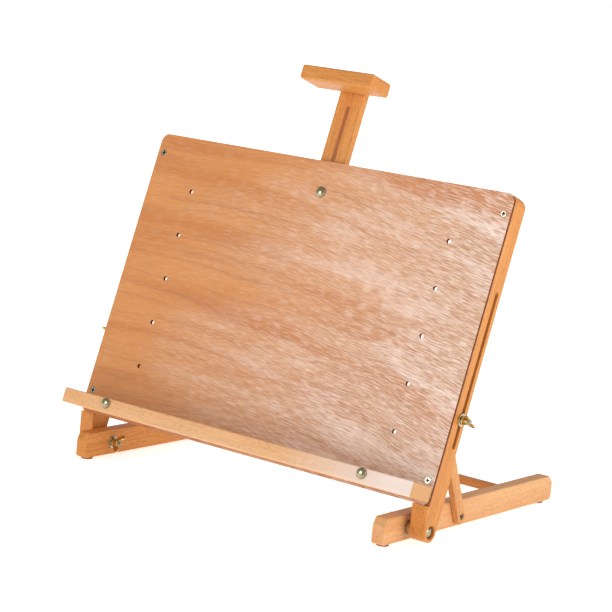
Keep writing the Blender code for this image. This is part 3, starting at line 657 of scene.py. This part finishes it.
def fit_slot_hardware():
    for side, sign in SIDES.items():
        outward = RIGHT * sign
        name = side + "_slot_bolt"
        low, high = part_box(name)
        inner = low.x if sign > 0 else high.x
        length = high.x - low.x
        point = Vector((inner, SLOT_BOLT.y, SLOT_BOLT.z))
        piece(name + "_fine", stud(length, length - 0.013), NICKEL, point, outward, name, name)
        name = side + "_slot_washer"
        low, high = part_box(name)
        near = low.x if sign > 0 else high.x
        point = Vector((near, SLOT_BOLT.y, SLOT_BOLT.z))
        piece(name + "_fine", WASHER.copy(), STEEL, point, outward, side + "_slot_bolt", name)
        dress(side + "_slot_bolt_head", STEEL)


# ---- light, floor and camera -------------------------------------------------------------
def area_light(name, place, target, size, energy, colour):
    light = bpy.data.lights.new(name, "AREA")
    light.shape = "RECTANGLE"
    light.size, light.size_y = size
    light.energy = energy
    light.color = colour
    obj = bpy.data.objects.new(name, light)
    obj.location = place
    obj.rotation_euler = (Vector(target) - Vector(place)).to_track_quat("-Z", "Y").to_euler()
    bpy.context.scene.collection.objects.link(obj)


def studio():
    world = bpy.data.worlds.new("studio")
    world.use_nodes = True
    nodes = world.node_tree.nodes
    links = world.node_tree.links
    direction = nodes.new("ShaderNodeTexCoord")
    split = nodes.new("ShaderNodeSeparateXYZ")
    fade = nodes.new("ShaderNodeMapRange")
    set_range(fade, 0.03, 0.30, 1.0, 0.48)
    links.new(direction.outputs["Generated"], split.inputs[0])
    links.new(split.outputs[2], fade.inputs[0])
    links.new(fade.outputs[0], nodes["Background"].inputs["Strength"])
    nodes["Background"].inputs["Color"].default_value = rgba(1.0, 1.0, 1.0)
    bpy.context.scene.world = world

    area_light("front_softbox", (-1.0, -2.17, 1.01), (0.15, -0.1, 0.2), (0.85, 0.8), 15.0,
               (1.0, 0.97, 0.95))
    area_light("side_softbox", (2.6, -0.3, 1.3), (0.0, 0.0, 0.15), (1.6, 1.6), 16.0,
               (1.0, 0.98, 0.95))
    area_light("low_fill", (2.2, 0.2, 0.40), (0.0, 0.0, 0.05), (1.2, 0.5), 8.0,
               (1.0, 0.98, 0.94))
    area_light("top_softbox", (0.3, 0.9, 2.4), (0.0, 0.0, 0.1), (2.0, 2.0), 6.0,
               (1.0, 1.0, 1.0))

    shader = Shader("pale_floor")
    shader.base(rgba(0.96, 0.96, 0.96), 0.75)
    place = shader.add("TexCoord").outputs["Object"]
    far = shader.add("VectorMath", {"operation": "LENGTH"}, i0=place).outputs["Value"]
    glow = shader.add("MapRange", Value=far)
    set_range(glow, 0.25, 0.90, 0.62, 1.0)
    shader.feed(shader.surface.inputs["Emission Color"], rgba(1.0, 1.0, 1.0))
    shader.feed(shader.surface.inputs["Emission Strength"], glow.outputs[0])
    bpy.ops.mesh.primitive_plane_add(size=60.0, location=(0.0, 0.0, -0.0002))
    floor = bpy.context.object
    floor.name = "floor"
    floor.data.materials.append(shader.material)


def camera():
    """Stands where the reference view was taken: right of the front, a little above."""
    azimuth = math.radians(36.01)
    elevation = math.radians(9.449)
    roll = math.radians(5.773)
    forward = Vector((-math.sin(azimuth) * math.cos(elevation),
                      math.cos(azimuth) * math.cos(elevation), -math.sin(elevation)))
    level = Vector((math.cos(azimuth), math.sin(azimuth), 0.0))
    above = level.cross(forward)
    right = level * math.cos(roll) + above * math.sin(roll)
    up = above * math.cos(roll) - level * math.sin(roll)
    data = bpy.data.cameras.new("camera")
    data.lens = 128.46
    data.sensor_width = 36.0
    obj = bpy.data.objects.new("camera", data)
    turn = Matrix((right, up, -forward)).transposed().to_4x4()
    obj.matrix_world = Matrix.Translation(EDGE + Vector((1.4534, -1.9103, 0.5759))) @ turn
    bpy.context.scene.collection.objects.link(obj)
    bpy.context.scene.camera = obj


camera()
studio()
dress_wood()
fit_wing_nuts()
fit_board_hardware()
fit_base_hardware()
fit_slot_hardware()

view = bpy.context.scene.view_settings
view.view_transform = "Standard"
